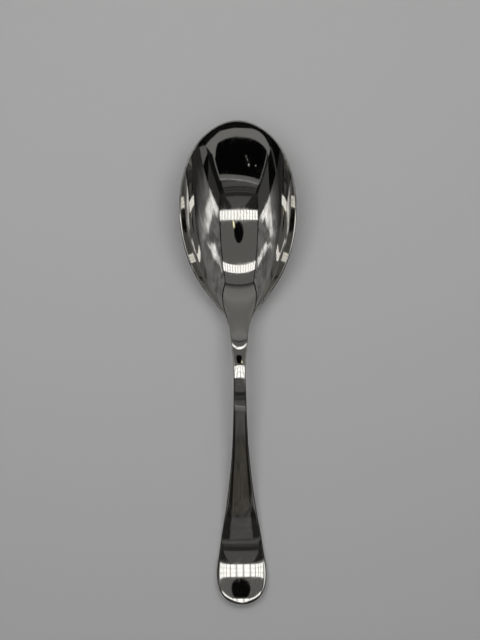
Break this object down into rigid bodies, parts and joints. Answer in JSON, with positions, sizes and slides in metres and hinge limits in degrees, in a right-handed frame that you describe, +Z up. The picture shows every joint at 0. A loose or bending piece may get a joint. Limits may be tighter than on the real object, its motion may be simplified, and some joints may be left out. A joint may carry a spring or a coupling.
{
  "type": "serving spoon",
  "caption": "Serving spoon in polished stainless steel: an egg-shaped bowl, a narrow arched neck and a handle that widens to a rounded, upturned end.",
  "frame": {"origin": "on the surface that the spoon lies on, below the middle of its length and width", "axes": "+Y along the spoon towards the bowl's tip, +X to its right seen from above, +Z up out of the bowl"},
  "size_m": [0.0554, 0.2301, 0.0232],
  "materials": {
    "polished_steel": "18/10 stainless steel polished to a mirror, with fine wear lines"
  },
  "bodies": {
    "root": {"bowl": "polished_steel", "neck": "polished_steel", "handle": "polished_steel"}
  },
  "joints": []
}
